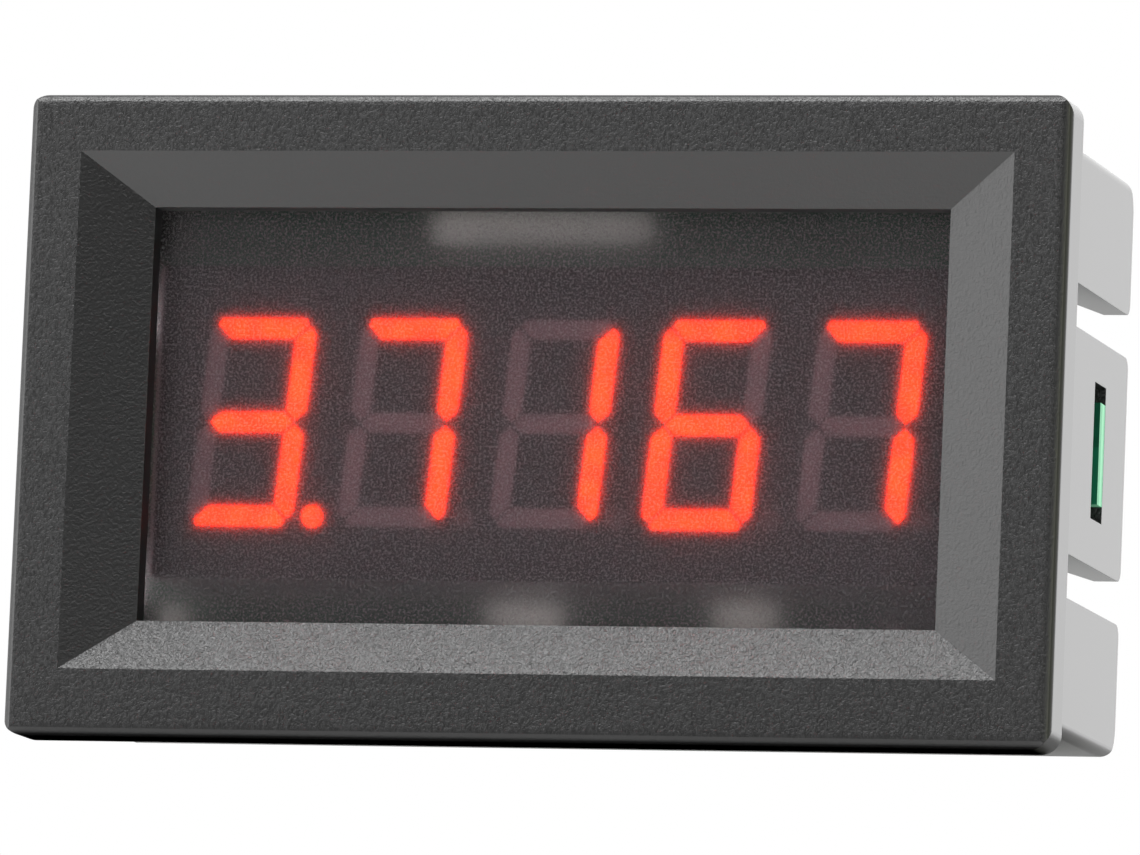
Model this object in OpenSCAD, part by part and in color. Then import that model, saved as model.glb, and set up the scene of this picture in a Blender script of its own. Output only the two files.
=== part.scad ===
// Digital panel meter: a five-digit seven-segment display in a snap-together bezel housing.
// +X right, +Y back into the panel, +Z up. Origin: middle of the bezel, on the panel's face.

/* [Bezel] */
// Width of the bezel across its front
bezel_w = 48; // [47:0.5:56]
// Height of the bezel
bezel_h = 29; // [28:0.5:36]
// Thickness of the bezel in front of the panel
bezel_t = 2.5; // [2.2:0.1:4]
// Rounding along the bezel's front edges
edge_r = 0.55; // [0.2:0.05:1]
// Rounding of the bezel's four corners, seen from the front
corner_r = 0.9; // [0.4:0.1:2]
// Flat rim left and right of the recess
rim_side = 2.5; // [2:0.1:3.5]
// Flat rim above and below the recess
rim_top = 2.8; // [2.2:0.1:3.5]
// Width of the sloping facets left and right of the window
facet_side = 3.15; // [2.5:0.05:3.6]
// Width of the sloping facets above and below the window
facet_top = 2.35; // [1.8:0.05:2.8]
// Depth of the sloping facets
recess_depth = 1.5; // [0.8:0.1:1.8]
// How far the recess, window and display sit above the bezel's middle
face_lift = 0.2; // [0:0.05:0.4]
// Thickness of the lip that the window filter is glued behind
lip_t = 1; // [0.7:0.1:1.4]

/* [Housing body] */
// Depth of the housing behind the panel's face
body_depth = 15; // [14:0.5:20]
// Overlap of the bezel on the panel, left and right
overlap_side = 0.95; // [0.7:0.05:1.4]
// Overlap of the bezel on the panel, above and below
overlap_top = 1.35; // [0.9:0.05:1.8]
// Thickness of the side walls, which carry the clips
side_wall = 1.6; // [1.3:0.1:1.8]
// Thickness of the side walls at their back edge
side_wall_tip = 1; // [0.7:0.1:1.2]
// Thickness of the top and bottom walls
top_wall = 1.4; // [1:0.1:1.6]
// Rounding along the body's long edges
body_edge_r = 0.5; // [0.2:0.1:1]
// Rounding of the body's back corners, seen from the side
body_back_r = 1.5; // [0.8:0.1:2.5]
// Depth of the shallow pocket that locates the window filter
filter_pocket = 0.6; // [0.3:0.1:0.8]
// Height of the four corner posts that the circuit board sits on
post_h = 3.2; // [2:0.1:3.6]
// Clearance between the posts and what stands between them
post_gap = 0.15; // [0.1:0.05:0.3]

/* [Snap clips] */
// Height of the clip in the middle of each side wall
clip_h = 10.2; // [9:0.1:11.5]
// Width of the slots that free the clip
slot_w = 1.95; // [1.2:0.05:2.4]
// Distance from the panel's face to the closed end of the slots
slot_start = 1.8; // [1.5:0.1:3.5]
// Height of the window in the clip that catches the board's ear
catch_h = 6.15; // [5.6:0.05:7]
// Free length of the catch window in front of the ear
catch_lead = 1.25; // [0.6:0.05:1.6]
// Play between the ear and the catch window's back edge
catch_play = 0.02; // [0:0.01:0.1]
// How far the catch windows and the ears sit above the middle of the clips
catch_lift = 0.1; // [0:0.05:0.3]
// Distance from the catch window to where the side walls start to thin
ramp_gap = 0.6; // [0.3:0.1:1]
// Rounding of the corners beside the slots
tab_r = 0.6; // [0.2:0.1:1]

/* [Window filter] */
// Thickness of the smoked filter
filter_t = 1; // [0.8:0.1:1.4]
// Overlap of the filter behind the lip
filter_overlap = 1.1; // [0.6:0.1:1.2]
// Clearance round the filter
filter_gap = 0.1; // [0.05:0.05:0.2]

/* [Display] */
// Digits shown, from left to right
reading = [3, 7, 1, 6, 7]; // [0:1:9]
// The digit that the lit decimal point follows
point_after = 1; // [1:1:5]
// Distance from one digit to the next
digit_pitch = 7.05; // [6.8:0.05:7.1]
// Distance between the middles of a digit's two upright segments
digit_w = 4.05; // [3.8:0.05:4.4]
// Distance between the middles of the top and bottom segments
digit_h = 8.5; // [8:0.1:9]
// Width of a segment
segment_w = 0.9; // [0.7:0.05:1.1]
// Gap between neighbouring segments
segment_gap = 0.14; // [0.1:0.02:0.2]
// Lean of the digits, in degrees
digit_slant = 5; // [0:1:8]
// Radius of a decimal point
point_r = 0.5; // [0.35:0.05:0.55]
// Distance from a point back to the middle between two digits
point_back = 0.5; // [0.3:0.05:0.6]
// How far the digits sit left of the display's middle, which leaves room for the points
digits_left = 0.1; // [0:0.05:0.4]
// Case beyond the digit pitches, left and right together
display_margin = 2.25; // [1.8:0.05:2.4]
// Height of the display case
display_h = 14.2; // [13.5:0.1:15]
// Depth of the display case
display_t = 7.2; // [6.5:0.1:8]
// Air gap between the filter and the display's face
display_gap = 1; // [0.6:0.1:1.5]
// Height of the feet that hold the display case off the circuit board
display_feet = 0.4; // [0.2:0.1:0.6]
// Rounding of the display case's upright edges, seen from the front
display_r = 0.3; // [0.1:0.1:0.5]
// Wall round the pocket in the back of the display case
display_wall = 1; // [0.8:0.1:1.2]
// Clearance round the board that carries the light chips
chip_board_gap = 0.05; // [0.02:0.01:0.1]
// Width of a light chip
chip_size = 0.3; // [0.2:0.05:0.4]
// Width of the pocket round a light chip
chip_pocket = 0.45; // [0.35:0.05:0.6]
// Thickness of the board that carries the light chips
chip_board_t = 0.9; // [0.6:0.1:1.2]
// Thickness of the sealing resin behind the chip board
resin_t = 1.1; // [0.8:0.1:1.4]
// Number of pins in each of the display's two rows
pins_per_row = 7; // [5:1:7]
// Distance between the pins in a row
pin_pitch = 2.54; // [2:0.02:2.6]
// Distance from each row of pins to the nearest edge of the display case
pin_inset = 2.02; // [1.8:0.02:2.4]
// Radius of a display pin
pin_r = 0.25; // [0.2:0.01:0.3]
// How far the display's pins stand out of their solder
pin_end = 0.35; // [0.1:0.05:0.6]

/* [Circuit board] */
// Thickness of the circuit board
board_t = 1; // [0.8:0.1:1.6]
// Clearance between the circuit board and the walls
board_gap = 0.15; // [0.1:0.05:0.2]
// Rounding of the circuit board's corners
board_r = 0.5; // [0.2:0.1:1]
// Height of the ears that snap into the clips
ear_h = 4.6; // [4:0.05:5.2]
// How far the ears stay inside the outer faces of the clips
ear_inset = 0; // [0:0.05:0.3]
// Radius of the holes for the display's pins
pin_hole_r = 0.42; // [0.38:0.01:0.48]
// Radius of a solder joint on the board
solder_r = 0.8; // [0.6:0.05:0.9]
// Height of a solder joint
solder_h = 0.75; // [0.5:0.05:0.9]
// Thickness of the solder where it ends on a pin
solder_rim = 0.06; // [0.04:0.01:0.1]

/* [Chips on the board] */
// Distance from the board's left edge to the middle of the converter chip
left_in = 8.3; // [7.5:0.1:8.5]
// Distance from the board's top edge to the top row of chip parts
top_in = 2.9; // [2.4:0.1:3.4]
// Distance from the board's lower edge to the lower row of chips
low_in = 3; // [2.8:0.1:3.4]
// Distance from a chip's end to the middle of the chip part beside it
beside = 1.9; // [1.6:0.1:2.2]
// Gap between two chip parts that stand end to end
end_gap = 1.2; // [0.8:0.1:1.6]
// Distance from the wiring header to the regulator's legs
regulator_gap = 4.2; // [3:0.1:4.5]
// Gap between a chip's body and the board
chip_stand = 0.1; // [0.05:0.05:0.2]
// Thickness of the thinnest leads
lead_t = 0.14; // [0.1:0.01:0.2]
// How far a lead reaches out from its chip
lead_reach = 1; // [0.8:0.05:1.2]
// Length of the microcontroller
controller_l = 6.5; // [5:0.1:7]
// Width of the microcontroller without its leads
controller_w = 4.4; // [4:0.1:4.6]
// Thickness of the microcontroller
controller_t = 1; // [0.8:0.1:1.2]
// Leads along each side of the microcontroller
controller_leads = 10; // [6:1:10]
// Distance between the microcontroller's leads
controller_pitch = 0.65; // [0.5:0.05:0.65]
// Length of the converter chip
converter_l = 4.9; // [4:0.1:5.4]
// Width of the converter chip without its leads
converter_w = 3.9; // [3:0.1:4.4]
// Thickness of the converter chip
converter_t = 1.4; // [1:0.1:1.6]
// Distance between the converter chip's leads
converter_pitch = 1.27; // [1:0.01:1.27]
// Length of the regulator
regulator_l = 4.5; // [4:0.1:5]
// Width of the regulator without its legs
regulator_w = 2.5; // [2.2:0.1:2.8]
// Thickness of the regulator
regulator_t = 1.5; // [1.2:0.1:1.7]
// Length of the reference chip
reference_l = 2.9; // [2.4:0.1:3.2]
// Width of the reference chip without its leads
reference_w = 1.3; // [1.1:0.1:1.6]
// Thickness of the reference chip
reference_t = 0.95; // [0.7:0.05:1.1]
// Length of the guard diode
diode_l = 2.7; // [2.2:0.1:2.8]
// Width of the guard diode
diode_w = 1.6; // [1.2:0.1:1.8]
// Thickness of the guard diode
diode_t = 1.1; // [0.8:0.05:1.2]
// Length of the input capacitor
input_l = 3.2; // [2.8:0.1:3.6]
// Width of the input capacitor
input_w = 1.6; // [1.2:0.1:2]
// Thickness of the input capacitor
input_t = 1.6; // [1.2:0.1:1.8]
// Length of a small chip part
small_l = 1.6; // [1.4:0.1:1.7]
// Length of a large chip part
large_l = 2; // [1.8:0.1:2.2]
// Width of a chip part, as a share of its length
small_ratio = 0.55; // [0.45:0.05:0.65]
// Thickness of the chip resistors
resistor_t = 0.45; // [0.35:0.05:0.6]
// Thickness of the chip capacitors
ceramic_t = 0.8; // [0.6:0.05:1]
// Length of the metal ends of a chip part
chip_end = 0.3; // [0.2:0.05:0.4]
// Distance from one resistor of a row to the next
resistor_pitch = 1.7; // [1.4:0.1:1.9]

/* [Wiring header] */
// Number of pins in the wiring header
header_pins_n = 3; // [2:1:3]
// Distance between the header's pins
header_pitch = 2.5; // [2:0.1:2.54]
// Height of the header above the board
header_rise = 7; // [6:0.1:9]
// Depth of the header, front to back across its pins
header_d = 5.75; // [5.2:0.05:6]
// Shell beyond the outer pins, at each end
header_end = 2.45; // [2:0.05:2.8]
// Wall of the header's shell
header_wall = 0.7; // [0.5:0.05:0.9]
// Thickness of the header's floor
header_floor = 1.6; // [1:0.1:2.2]
// Width of the header's square pins
header_pin = 0.64; // [0.5:0.02:0.7]
// Clearance between the corners of a pin and its hole in the board
header_hole_gap = 0.06; // [0.04:0.01:0.1]
// Width of the slots that key the plug
key_w = 1.3; // [1:0.1:1.4]
// Height of the closed wall below the keying slots
key_rise = 1.2; // [0.6:0.1:2]
// Distance from the header to the board's right edge
header_side = 2.15; // [1.5:0.05:3]
// Distance from the header to the board's lower edge
header_edge = 0.4; // [0.2:0.1:0.7]

/* [Hidden] */
$fn = 48;
slack = 0.5; // how far a cutting shape reaches past what it cuts
bite = 0.01; // how far shapes that are moulded in one piece reach into each other

// Bezel and body, from outside to inside
recess_w = bezel_w - 2 * rim_side;
recess_h = bezel_h - 2 * rim_top;
window_w = recess_w - 2 * facet_side;
window_h = recess_h - 2 * facet_top;
body_w = bezel_w - 2 * overlap_side;
body_h = bezel_h - 2 * overlap_top;
cavity_w = body_w - 2 * side_wall;
cavity_h = body_h - 2 * top_wall;

// Depths, all measured back from the panel's face
face_y = -bezel_t;
lip_front_y = face_y + recess_depth;
lip_back_y = lip_front_y + lip_t;
floor_y = lip_back_y + filter_pocket;
filter_back_y = lip_back_y + filter_t;
display_y = filter_back_y + display_gap;
display_back_y = display_y + display_t;
board_y = display_back_y + display_feet;
board_back_y = board_y + board_t;
catch_y = board_y - catch_lead;
catch_back_y = board_back_y + catch_play;
ramp_y = catch_back_y + ramp_gap;

filter_w = window_w + 2 * filter_overlap;
filter_h = window_h + 2 * filter_overlap;

// Display, and the posts on either side of it
digits_n = len(reading);
display_w = digits_n * digit_pitch + display_margin;
post_x = max(filter_w / 2 + filter_gap, display_w / 2) + post_gap;
well_depth = display_t - chip_board_t - resin_t;
chip_board_y = display_y + well_depth;
resin_y = chip_board_y + chip_board_t;
point_shift = digit_pitch / 2 - point_back;
pin_tail = solder_h + pin_end;

// Which of the segments a, b, c, d, e, f and g each figure from 0 to 9 lights
FIGURES = [
    [1, 1, 1, 1, 1, 1, 0], [0, 1, 1, 0, 0, 0, 0], [1, 1, 0, 1, 1, 0, 1], [1, 1, 1, 1, 0, 0, 1],
    [0, 1, 1, 0, 0, 1, 1], [1, 0, 1, 1, 0, 1, 1], [1, 0, 1, 1, 1, 1, 1], [1, 1, 1, 0, 0, 0, 0],
    [1, 1, 1, 1, 1, 1, 1], [1, 1, 1, 1, 0, 1, 1]];

// Circuit board and header
board_w = cavity_w - 2 * board_gap;
board_h = cavity_h - 2 * board_gap;
ear_reach = body_w / 2 - ear_inset;
header_w = (header_pins_n - 1) * header_pitch + 2 * header_end;
header_hole_r = header_pin * sqrt(2) / 2 + header_hole_gap;
header_x = board_w / 2 - header_side - header_w / 2;
header_drop = board_h / 2 - header_edge - header_d / 2;
header_tail = display_feet * 0.8; // its pins are cut short in front, under the display
header_pin_rise = header_rise - header_floor / 2;

// Places on the board: each part keeps to the edge, or the chip, that it is nearest to
left_x = left_in - board_w / 2;
right_x = header_x;
top_z = board_h / 2 - top_in;
low_z = low_in - board_h / 2;
regulator_z = -header_drop + header_d / 2 + regulator_gap + lead_reach + regulator_w / 2;

// The lower row's parts stand at equal steps from the left column to the header
lower_steps = 5;
lower_pitch = (header_x - header_w / 2 - left_x) / lower_steps;
function lower_x(i) = left_x + i * lower_pitch;

// ---------- drawing helpers ----------

// Extrudes a front-view outline, drawn in X and Z, from one depth to another
module from_to_y(y0, y1) {
    translate([0, y1, 0]) rotate([90, 0, 0]) linear_extrude(y1 - y0) children();
}

// Extrudes a side-view outline, drawn in Y and Z, across a width about the middle
module across_x(w) {
    translate([-w / 2, 0, 0]) rotate([90, 0, 90]) linear_extrude(w) children();
}

// Extrudes a plan-view outline, drawn in X and Y, over a height about the middle
module over_z(h) {
    translate([0, 0, -h / 2]) linear_extrude(h) children();
}

module centred_rect(w, h) {
    translate([-w / 2, -h / 2]) square([w, h]);
}

module round_rect(w, h, r) {
    centred_rect(w - 2 * r, h);
    centred_rect(w, h - 2 * r);
    for (x = [-1, 1], y = [-1, 1])
        translate([x * (w / 2 - r), y * (h / 2 - r)]) circle(r);
}

// A strip from one depth to another whose two corners at the near or far end are rounded
module round_ended(w, y0, y1, r, at_back) {
    end = at_back ? y1 : y0;
    inner = at_back ? y1 - r : y0 + r;
    translate([-w / 2, at_back ? y0 : inner]) square([w, y1 - y0 - r]);
    translate([-w / 2 + r, y0]) square([w - 2 * r, y1 - y0]);
    for (x = [-1, 1]) translate([x * (w / 2 - r), inner]) circle(r);
}

module both_sides() {
    children();
    mirror([1, 0, 0]) children();
}

// Puts a component that is drawn standing on z = 0 onto the back of the circuit board
module on_board(x, z, turn = 0) {
    translate([x, board_back_y, z]) rotate([-90, 0, 0]) rotate([0, 0, turn]) children();
}

// ---------- housing ----------

// The bezel plate with its rounded front edges
module bezel_plate() {
    intersection() {
        from_to_y(face_y, 0) round_rect(bezel_w, bezel_h, corner_r);
        over_z(bezel_h) round_ended(bezel_w, face_y, 0, edge_r, false);
        across_x(bezel_w) rotate(90) mirror([0, 1])
            round_ended(bezel_h, face_y, 0, edge_r, false);
    }
}

// The body behind the panel, with rounded long edges and back corners
module body_block() {
    intersection() {
        from_to_y(-edge_r, body_depth) round_rect(body_w, body_h, body_edge_r);
        across_x(body_w) rotate(90) mirror([0, 1])
            round_ended(body_h, -edge_r, body_depth, body_back_r, true);
    }
}

// The recess: four mitred facets that slope back to the window
module recess_cut() {
    rise = recess_depth + slack;
    grow_side = facet_side * rise / recess_depth;
    grow_top = facet_top * rise / recess_depth;
    translate([0, lip_front_y, face_lift]) intersection() {
        over_z(recess_h * 2) polygon([
            [-window_w / 2, 0], [-window_w / 2 - grow_side, -rise],
            [window_w / 2 + grow_side, -rise], [window_w / 2, 0]]);
        across_x(recess_w * 2) polygon([
            [0, -window_h / 2], [-rise, -window_h / 2 - grow_top],
            [-rise, window_h / 2 + grow_top], [0, window_h / 2]]);
    }
}

// The window, and the pocket behind it that locates the filter
module window_cut() {
    translate([0, 0, face_lift]) {
        from_to_y(lip_front_y - bite, lip_back_y + slack) centred_rect(window_w, window_h);
        from_to_y(lip_back_y, floor_y + slack)
            centred_rect(filter_w + 2 * filter_gap, filter_h + 2 * filter_gap);
    }
}

// The inside of the body; its side walls thin towards the back as lead-ins for the ears
module cavity_cut() {
    tip = side_wall - side_wall_tip;
    end = body_depth + slack;
    grow = tip * (end - ramp_y) / (body_depth - ramp_y);
    intersection() {
        over_z(cavity_h) polygon([
            [-cavity_w / 2, floor_y], [-cavity_w / 2, ramp_y], [-cavity_w / 2 - grow, end],
            [cavity_w / 2 + grow, end], [cavity_w / 2, ramp_y], [cavity_w / 2, floor_y]]);
        from_to_y(floor_y, end) centred_rect(body_w, cavity_h);
    }
}

// Outline of one slot in the side view: a closed round end and a flared mouth
module slot_outline() {
    r = slot_w / 2;
    mouth = body_depth + slack;
    translate([slot_start + r, -r]) square([mouth - slot_start - r, slot_w]);
    translate([slot_start + r, 0]) circle(r);
    for (flip = [0, 1]) mirror([0, flip]) difference() {
        translate([body_depth - tab_r, 0]) square([tab_r + slack, r + tab_r]);
        translate([body_depth - tab_r, r + tab_r]) circle(tab_r);
    }
}

// The two slots and the catch window of one side wall
module clip_cut() {
    depth = side_wall + 2 * slack;
    slot_z = clip_h / 2 + slot_w / 2;
    translate([body_w / 2 - side_wall - slack + depth / 2, 0, 0]) across_x(depth) {
        for (s = [-1, 1]) translate([0, s * slot_z]) slot_outline();
        translate([catch_y, catch_lift - catch_h / 2]) square([catch_back_y - catch_y, catch_h]);
    }
}

// One post in a corner of the cavity, which the circuit board sits on
module corner_posts() {
    both_sides() for (flip = [0, 1]) mirror([0, 0, flip])
        translate([post_x, floor_y - bite, cavity_h / 2 - post_h])
            cube([cavity_w / 2 - post_x + bite, board_y - floor_y + bite, post_h + bite]);
}

module housing() {
    color("#26272a") {
        difference() {
            union() {
                bezel_plate();
                body_block();
            }
            recess_cut();
            window_cut();
            cavity_cut();
            both_sides() clip_cut();
        }
        corner_posts();
    }
}

// ---------- window and display ----------

module window_filter() {
    color("#2b2528", 0.6) translate([0, 0, face_lift])
        from_to_y(lip_back_y, filter_back_y) centred_rect(filter_w, filter_h);
}

// A point of a digit's outline, mirrored into its quarter and then leaned over
function placed(p, sx, sy) = [sx * p[0] + tan(digit_slant) * sy * p[1], sy * p[1]];

// Outlines of the three kinds of segment, drawn upright about the digit's middle
function top_outline() =
    let (hw = digit_w / 2, hh = digit_h / 2, q = segment_w / 2, g = segment_gap * sqrt(0.5))
    let (chop = segment_w * 0.3, inner = hw - q - g, outer = hw + q - g - chop)
    [[-inner, hh - q], [-outer, hh + q - chop], [-outer + chop / 2, hh + q],
        [outer - chop / 2, hh + q], [outer, hh + q - chop], [inner, hh - q]];

function side_outline() =
    let (hw = digit_w / 2, hh = digit_h / 2, q = segment_w / 2, g = segment_gap * sqrt(0.5))
    let (chop = segment_w * 0.3, top = hh + q - g - chop)
    [[hw - q, hh - q - g], [hw + q - chop, top], [hw + q, top - chop],
        [hw + q, g + q], [hw, g], [hw - q, g + q]];

function middle_outline() =
    let (hw = digit_w / 2, q = segment_w / 2, tip = hw - segment_gap * sqrt(0.5))
    [[-tip, 0], [-tip + q, q], [tip - q, q], [tip, 0], [tip - q, -q], [-tip + q, -q]];

// The segments a to g, each as its outline and the two signs that mirror it into place
SEGMENTS = [
    [top_outline(), 1, 1], [side_outline(), 1, 1], [side_outline(), 1, -1],
    [top_outline(), 1, -1], [side_outline(), -1, -1], [side_outline(), -1, 1],
    [middle_outline(), 1, 1]];

// The middle of each segment, where its light chip sits
SEGMENT_MIDDLES = [
    [0, digit_h / 2], [digit_w / 2, digit_h / 4], [digit_w / 2, -digit_h / 4], [0, -digit_h / 2],
    [-digit_w / 2, -digit_h / 4], [-digit_w / 2, digit_h / 4], [0, 0]];

function digit_x(n) = (n - (digits_n - 1) / 2) * digit_pitch - digits_left;
function is_lit(n, i) = FIGURES[reading[n]][i] == 1;

// The segments of every digit that are lit, or those that aren't
module segment_outlines(lit) {
    for (n = [0 : digits_n - 1], i = [0 : 6]) if (is_lit(n, i) == lit)
        translate([digit_x(n), 0])
            polygon([for (p = SEGMENTS[i][0]) placed(p, SEGMENTS[i][1], SEGMENTS[i][2])]);
}

module point_outlines(lit) {
    for (n = [0 : digits_n - 1]) if ((n + 1 == point_after) == lit)
        translate([digit_x(n) + point_shift, -digit_h / 2]) circle(point_r, $fn = 24);
}

// A square on the middle of each segment and point
module chip_outlines(size) {
    for (n = [0 : digits_n - 1]) translate([digit_x(n), 0]) {
        for (m = SEGMENT_MIDDLES) translate(placed(m, 1, 1)) centred_rect(size, size);
        translate([point_shift, -digit_h / 2]) centred_rect(size, size);
    }
}

// The places of the display's pins
module at_display_pins() {
    for (i = [0 : pins_per_row - 1], s = [-1, 1])
        translate([(i - (pins_per_row - 1) / 2) * pin_pitch, 0,
            face_lift + s * (display_h / 2 - pin_inset)]) children();
}

module pin_hole(r, y0, y1) {
    translate([0, y0, 0]) rotate([-90, 0, 0]) cylinder(r = r, h = y1 - y0);
}

// Clear resin in the wells of the case, with a pocket round each light chip
module well_filling() {
    translate([0, 0, face_lift]) difference() {
        from_to_y(display_y, chip_board_y) children();
        from_to_y(chip_board_y - chip_pocket, chip_board_y + slack) chip_outlines(chip_pocket);
    }
}

module display_outline() {
    round_rect(display_w, display_h, display_r);
}

module display_case() {
    pocket_w = display_w - 2 * display_wall;
    pocket_h = display_h - 2 * display_wall;
    color("#3a383a") translate([0, 0, face_lift]) {
        difference() {
            from_to_y(display_y, display_back_y) display_outline();
            from_to_y(chip_board_y, display_back_y + slack) centred_rect(pocket_w, pocket_h);
            from_to_y(display_y - slack, chip_board_y + slack / 2) {
                segment_outlines(true);
                segment_outlines(false);
                point_outlines(true);
                point_outlines(false);
            }
        }
        from_to_y(display_back_y, board_y) intersection() {
            display_outline();
            for (x = [-1, 1], z = [-1, 1]) translate([x * display_w / 2, z * display_h / 2])
                centred_rect(2 * display_wall, 2 * display_wall);
        }
    }
}

module lit_segments() { color("#ff4a26") well_filling() segment_outlines(true); }
module unlit_segments() { color("#6e5a5e") well_filling() segment_outlines(false); }
module lit_point() { color("#ff4a26") well_filling() point_outlines(true); }
module unlit_points() { color("#6e5a5e") well_filling() point_outlines(false); }

module light_chips() {
    color("#d8c050") translate([0, 0, face_lift])
        from_to_y(chip_board_y - chip_size, chip_board_y) chip_outlines(chip_size);
}

module display_back_outline(gap) {
    centred_rect(display_w - 2 * (display_wall + gap), display_h - 2 * (display_wall + gap));
}

module chip_board() {
    color("#cfc9a8") difference() {
        translate([0, 0, face_lift]) from_to_y(chip_board_y, resin_y) display_back_outline(chip_board_gap);
        at_display_pins() pin_hole(pin_r, chip_board_y - slack, resin_y + slack);
    }
}

module display_resin() {
    color("#d9d4c4") difference() {
        translate([0, 0, face_lift]) from_to_y(resin_y, display_back_y) display_back_outline(0);
        at_display_pins() pin_hole(pin_r, resin_y - slack, display_back_y + slack);
    }
}

module display_pins() {
    color("silver") at_display_pins()
        pin_hole(pin_r, chip_board_y, board_back_y + pin_tail);
}

// ---------- circuit board ----------

module circuit_board() {
    color("#1f7a4d") difference() {
        from_to_y(board_y, board_back_y) {
            round_rect(board_w, board_h, board_r);
            translate([0, catch_lift]) centred_rect(2 * ear_reach, ear_h);
        }
        at_display_pins() pin_hole(pin_hole_r, board_y - slack, board_back_y + slack);
        at_header_pins() pin_hole(header_hole_r, board_y - slack, board_back_y + slack);
    }
}

// A solder joint round a pin: a hollow-sided cone on the board and a sleeve in the hole
module solder_joint(inner_r, hole_r, h) {
    steps = 4;
    top_r = inner_r + solder_rim;
    rotate_extrude($fn = 24) polygon(concat(
        [[inner_r, -board_t], [hole_r, -board_t], [hole_r, 0]],
        [for (i = [0 : steps])
            [top_r + (solder_r - top_r) * pow(1 - i / steps, 2), h * i / steps]],
        [[inner_r, h]]));
}

module pin_solder() {
    color("#c9ccd0") at_display_pins() translate([0, board_back_y, 0])
        rotate([-90, 0, 0]) solder_joint(pin_r, pin_hole_r, solder_h);
}

// ---------- components on the back of the board ----------

// A moulded package: a waist that the leads leave from, and drafted faces above and below it
module package(l, w, t, waist) {
    top = chip_stand + t;
    middle = (chip_stand + top) / 2;
    draft = t * 0.12;
    module package_side(size) {
        polygon([
            [-size / 2 + draft, chip_stand], [-size / 2, middle - waist / 2],
            [-size / 2, middle + waist / 2], [-size / 2 + draft, top],
            [size / 2 - draft, top], [size / 2, middle + waist / 2],
            [size / 2, middle - waist / 2], [size / 2 - draft, chip_stand]]);
    }
    intersection() {
        translate([0, w, 0]) rotate([90, 0, 0]) linear_extrude(2 * w) package_side(l);
        translate([-l, 0, 0]) rotate([90, 0, 90]) linear_extrude(2 * l) package_side(w);
    }
}

// The height at which leads leave a package of the given thickness
function exit_height(t) = chip_stand + t / 2;

// A package with a round dimple that marks its first lead
module marked_package(l, w, t, waist) {
    dimple_r = w * 0.07;
    difference() {
        package(l, w, t, waist);
        translate([-l / 2 + w * 0.2, w * 0.3, chip_stand + t * 0.94])
            cylinder(r = dimple_r, h = t, $fn = 24);
    }
}

// One bent lead that leaves a package's side at x = 0 and stands on the board
module gull_lead(reach, exit_z, lead_w, thick) {
    knee = reach * 0.35;
    shin = reach * 0.5;
    translate([0, lead_w / 2, 0]) rotate([90, 0, 0]) linear_extrude(lead_w) polygon([
        [0, exit_z - thick / 2], [knee - thick / 2, exit_z - thick / 2], [shin - thick / 2, 0],
        [reach, 0], [reach, thick], [shin + thick / 2, thick],
        [knee + thick / 2, exit_z + thick / 2], [0, exit_z + thick / 2]]);
}

// A row of leads along the side of a package that faces up the board
module lead_row(count, pitch, body_w, reach, t, lead_w, thick) {
    for (i = [0 : count - 1])
        translate([(i - (count - 1) / 2) * pitch, body_w / 2, 0]) rotate([0, 0, 90])
            gull_lead(reach, exit_height(t), lead_w, thick);
}

module both_rows() {
    children();
    rotate([0, 0, 180]) children();
}

module microcontroller() {
    color("#2a2b2d") on_board(0, face_lift)
        marked_package(controller_l, controller_w, controller_t, lead_t * 1.5);
}

module microcontroller_leads() {
    color("silver") on_board(0, face_lift) both_rows()
        lead_row(controller_leads, controller_pitch, controller_w, lead_reach, controller_t,
            controller_pitch * 0.37, lead_t);
}

module converter_chip() {
    color("#2a2b2d") on_board(left_x, 0)
        marked_package(converter_l, converter_w, converter_t, lead_t * 2);
}

module converter_leads() {
    color("silver") on_board(left_x, 0) both_rows()
        lead_row(4, converter_pitch, converter_w, lead_reach, converter_t,
            converter_pitch / 3, lead_t * 1.4);
}

// Stands flat on its cooling tab, with sides that slope in above the legs
module regulator() {
    ledge = regulator_t * 0.4;
    half = regulator_w / 2;
    slope = regulator_t * 0.1;
    color("#2a2b2d") on_board(right_x, regulator_z)
        translate([-regulator_l / 2, 0, 0]) rotate([90, 0, 90]) linear_extrude(regulator_l)
            polygon([[-half, 0], [-half, ledge], [-half + slope, regulator_t],
                [half - slope, regulator_t], [half, ledge], [half, 0]]);
}

// The regulator's three legs and its wide cooling tab
module regulator_leads() {
    leg_w = regulator_l * 0.1;
    leg_t = regulator_t * 0.26;
    color("silver") on_board(right_x, regulator_z) {
        for (i = [-1 : 1]) translate([i * regulator_l / 3 - leg_w / 2, regulator_w / 2, 0])
            cube([leg_w, lead_reach, leg_t]);
        translate([-regulator_l / 5, -regulator_w / 2 - lead_reach, 0])
            cube([regulator_l * 0.4, lead_reach, leg_t]);
    }
}

module reference_chip() {
    color("#2a2b2d") on_board(left_x, low_z)
        package(reference_l, reference_w, reference_t, lead_t * 1.5);
}

// One lead on the upper side and two on the lower
module reference_leads() {
    lead_w = reference_l * 0.14;
    color("silver") on_board(left_x, low_z) for (side = [0, 1])
        rotate([0, 0, 180 * side])
            lead_row(1 + side, reference_l * 0.65, reference_w, lead_reach * 0.6, reference_t,
                lead_w, lead_t);
}

module guard_diode() {
    color("#2a2b2d") on_board(lower_x(4), low_z) package(diode_l, diode_w, diode_t, lead_t * 1.5);
}

module diode_leads() {
    color("silver") on_board(lower_x(4), low_z) both_rows() rotate([0, 0, 90])
        lead_row(1, 0, diode_l, lead_reach * 0.6, diode_t, diode_w * 0.4, lead_t);
}

module input_capacitor() {
    color("#c8892e") on_board(right_x, top_z) package(input_l, input_w, input_t, input_t * 0.6);
}

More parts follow.
